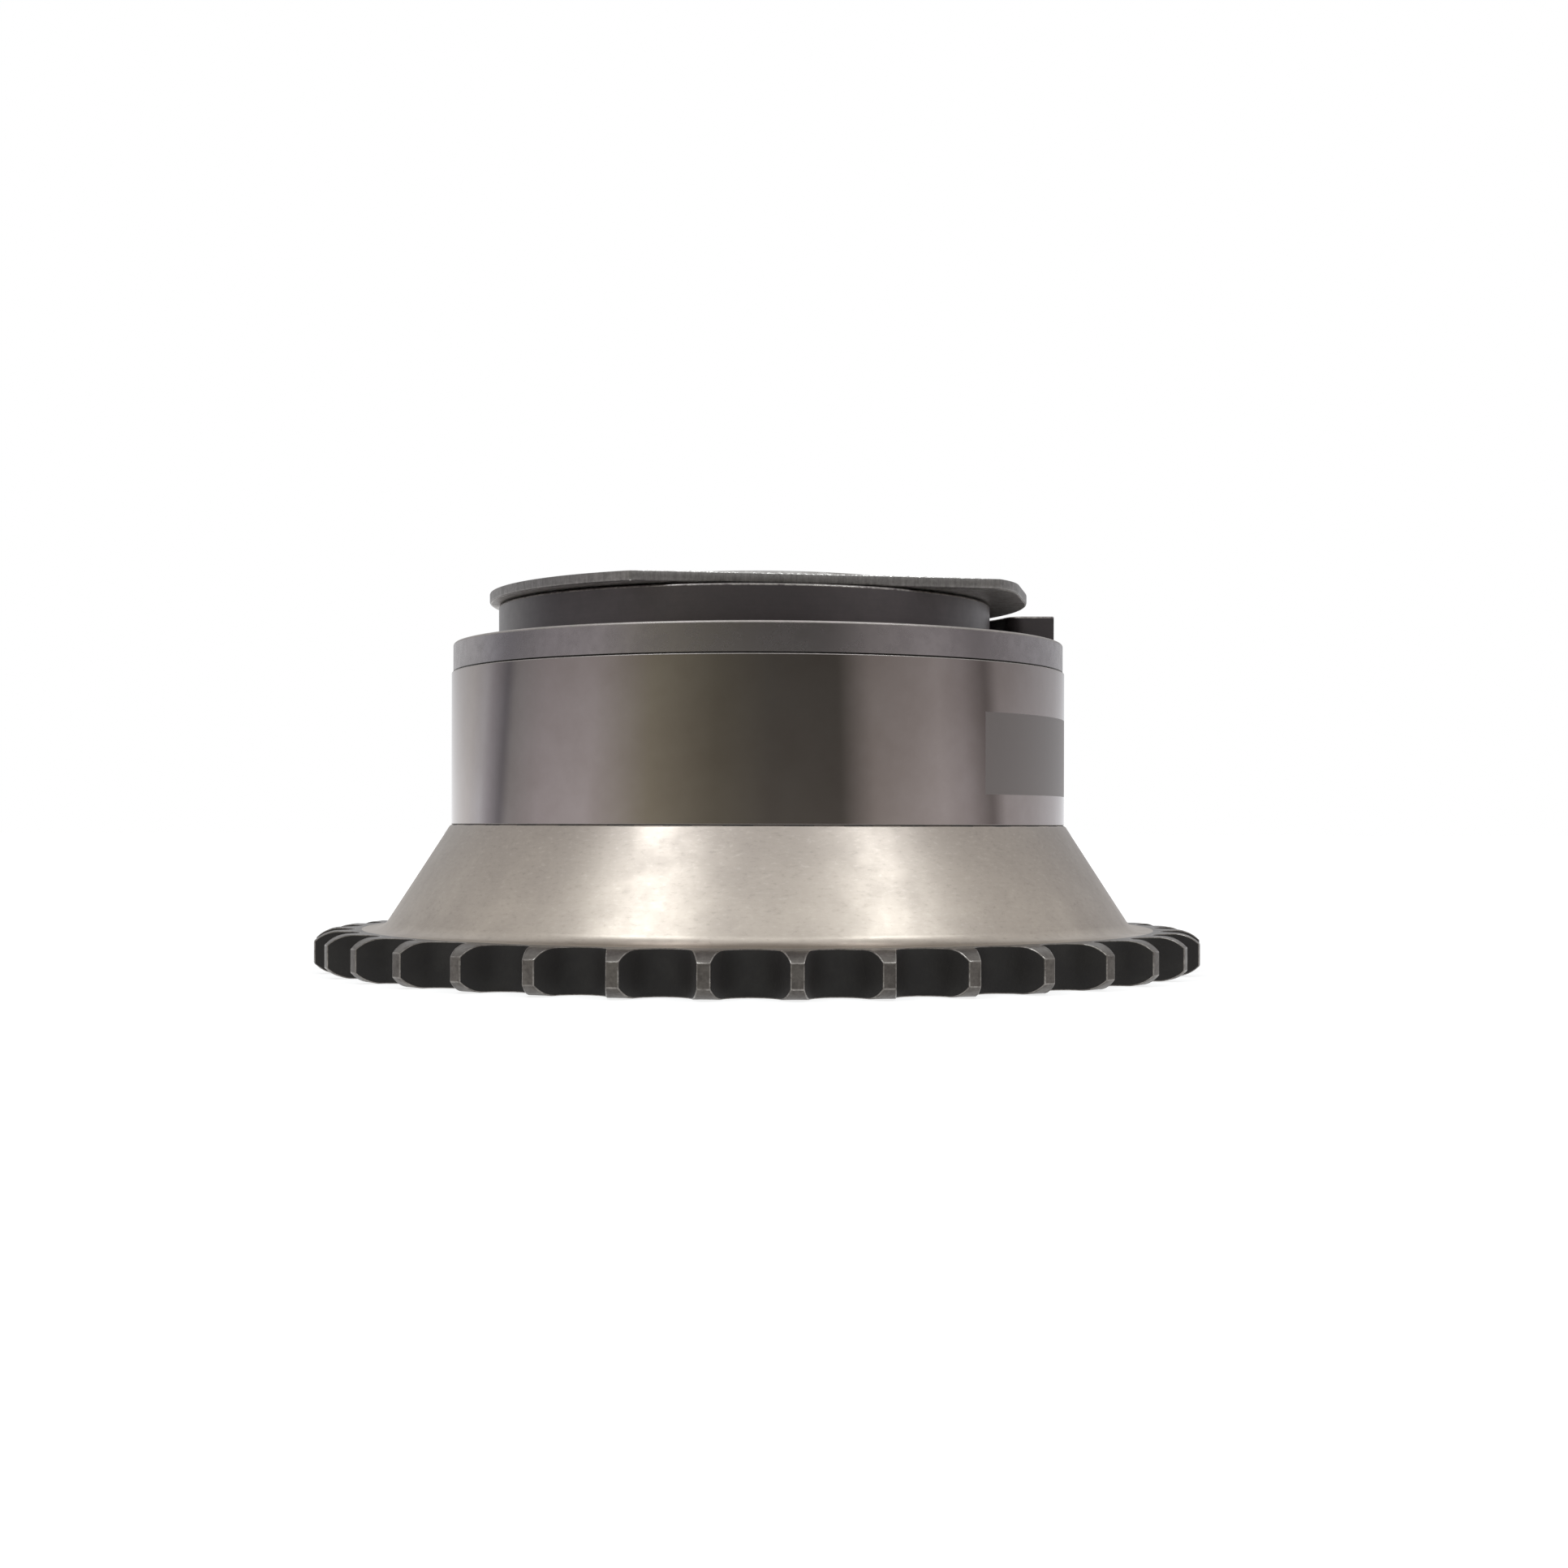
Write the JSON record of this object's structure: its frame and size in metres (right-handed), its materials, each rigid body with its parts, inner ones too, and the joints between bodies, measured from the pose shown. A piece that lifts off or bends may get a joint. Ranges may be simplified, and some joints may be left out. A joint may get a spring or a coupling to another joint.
{
  "type": "cam phaser",
  "caption": "Vane-type cam phaser: toothed chain sprocket with a cone, cylindrical body, front cover, flat spiral bias spring and stamped retainer plate.",
  "frame": {"origin": "centre of the sprocket's lower face, which the part stands on", "axes": "+Z along the camshaft axis, from the sprocket towards the bias spring and plate; the plate's straight side faces -Y"},
  "size_m": [0.1128, 0.1128, 0.0489],
  "materials": {
    "sintered_steel": "satin turned cone, dark hardened tooth gaps",
    "body_steel": "smooth satin",
    "rotor_steel": "satin",
    "cover_steel": "mottled satin",
    "screw_steel": "black oxide",
    "hard_steel": "ground",
    "wire_steel": "drawn",
    "spring_steel": "black phosphate",
    "plate_steel": "stamped, sheared edge",
    "seal_plastic": "matte"
  },
  "bodies": {
    "housing": {"sprocket": "sintered_steel", "stator": "body_steel", "front_cover": "cover_steel", "housing_screws": "screw_steel", "lobe_seal_1": "seal_plastic", "lobe_seal_2": "seal_plastic", "lobe_seal_3": "seal_plastic", "lobe_seal_4": "seal_plastic", "lobe_seal_spring_1": "wire_steel", "lobe_seal_spring_2": "wire_steel", "lobe_seal_spring_3": "wire_steel", "lobe_seal_spring_4": "wire_steel", "lock_bush_1": "hard_steel", "lock_bush_2": "hard_steel", "stator_dowel": "hard_steel", "bias_spring": "spring_steel", "spring_post": "hard_steel"},
    "rotor": {"rotor": "rotor_steel", "vane_seal_1": "seal_plastic", "vane_seal_2": "seal_plastic", "vane_seal_3": "seal_plastic", "vane_seal_4": "seal_plastic", "vane_seal_spring_1": "wire_steel", "vane_seal_spring_2": "wire_steel", "vane_seal_spring_3": "wire_steel", "vane_seal_spring_4": "wire_steel", "lock_spring": "wire_steel", "lock_cap": "hard_steel", "cam_dowel": "hard_steel", "spring_arbor": "rotor_steel", "retainer_plate": "plate_steel"},
    "lock_pin": {"lock_pin": "hard_steel"}
  },
  "joints": [
    {"name": "rotor_turn", "type": "hinge", "parent": "housing", "child": "rotor", "pos_m": [0, 0, 0.0281], "axis": [0, 0, 1], "range_deg": [0, 25], "stiffness_Nm_per_rad": 0.6, "springref_deg": -60.16, "deforming": ["bias_spring"]},
    {"name": "lock_pin_slide", "type": "slide", "parent": "rotor", "child": "lock_pin", "axis": [0, 0, 1], "range_m": [-0.003, 0], "stiffness_N_per_m": 500, "deforming": ["lock_spring"]}
  ]
}
